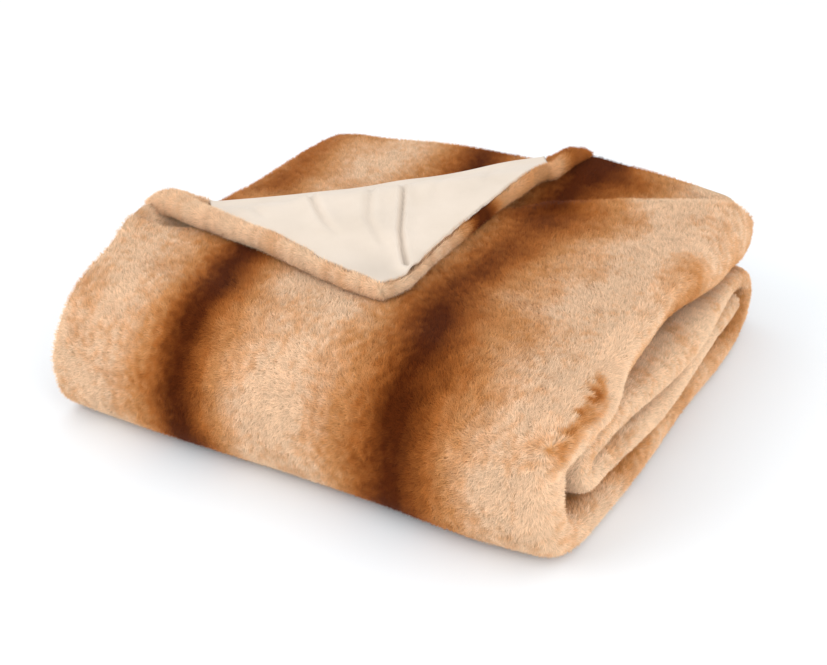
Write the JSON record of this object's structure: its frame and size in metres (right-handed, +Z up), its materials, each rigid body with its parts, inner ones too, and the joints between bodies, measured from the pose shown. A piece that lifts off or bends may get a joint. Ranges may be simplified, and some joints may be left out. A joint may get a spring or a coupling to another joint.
{
  "type": "folded faux fur throw",
  "caption": "Plush faux fur throw folded into a soft pile, with one corner of the top turned back to show its smooth cream backing.",
  "frame": {"origin": "centre of the flat face that the folded pile rests on, on the middle of its bounding box", "axes": "+Z up, +X to the right along the rounded front fold, +Y to the back"},
  "size_m": [0.449, 0.4332, 0.1422],
  "materials": {
    "fur": "short dense plush pile, caramel with dark brown ombre stripes",
    "backing": "smooth matt cream knit"
  },
  "bodies": {
    "root": {"fur_cloth": "fur", "backing": "backing"}
  },
  "joints": []
}
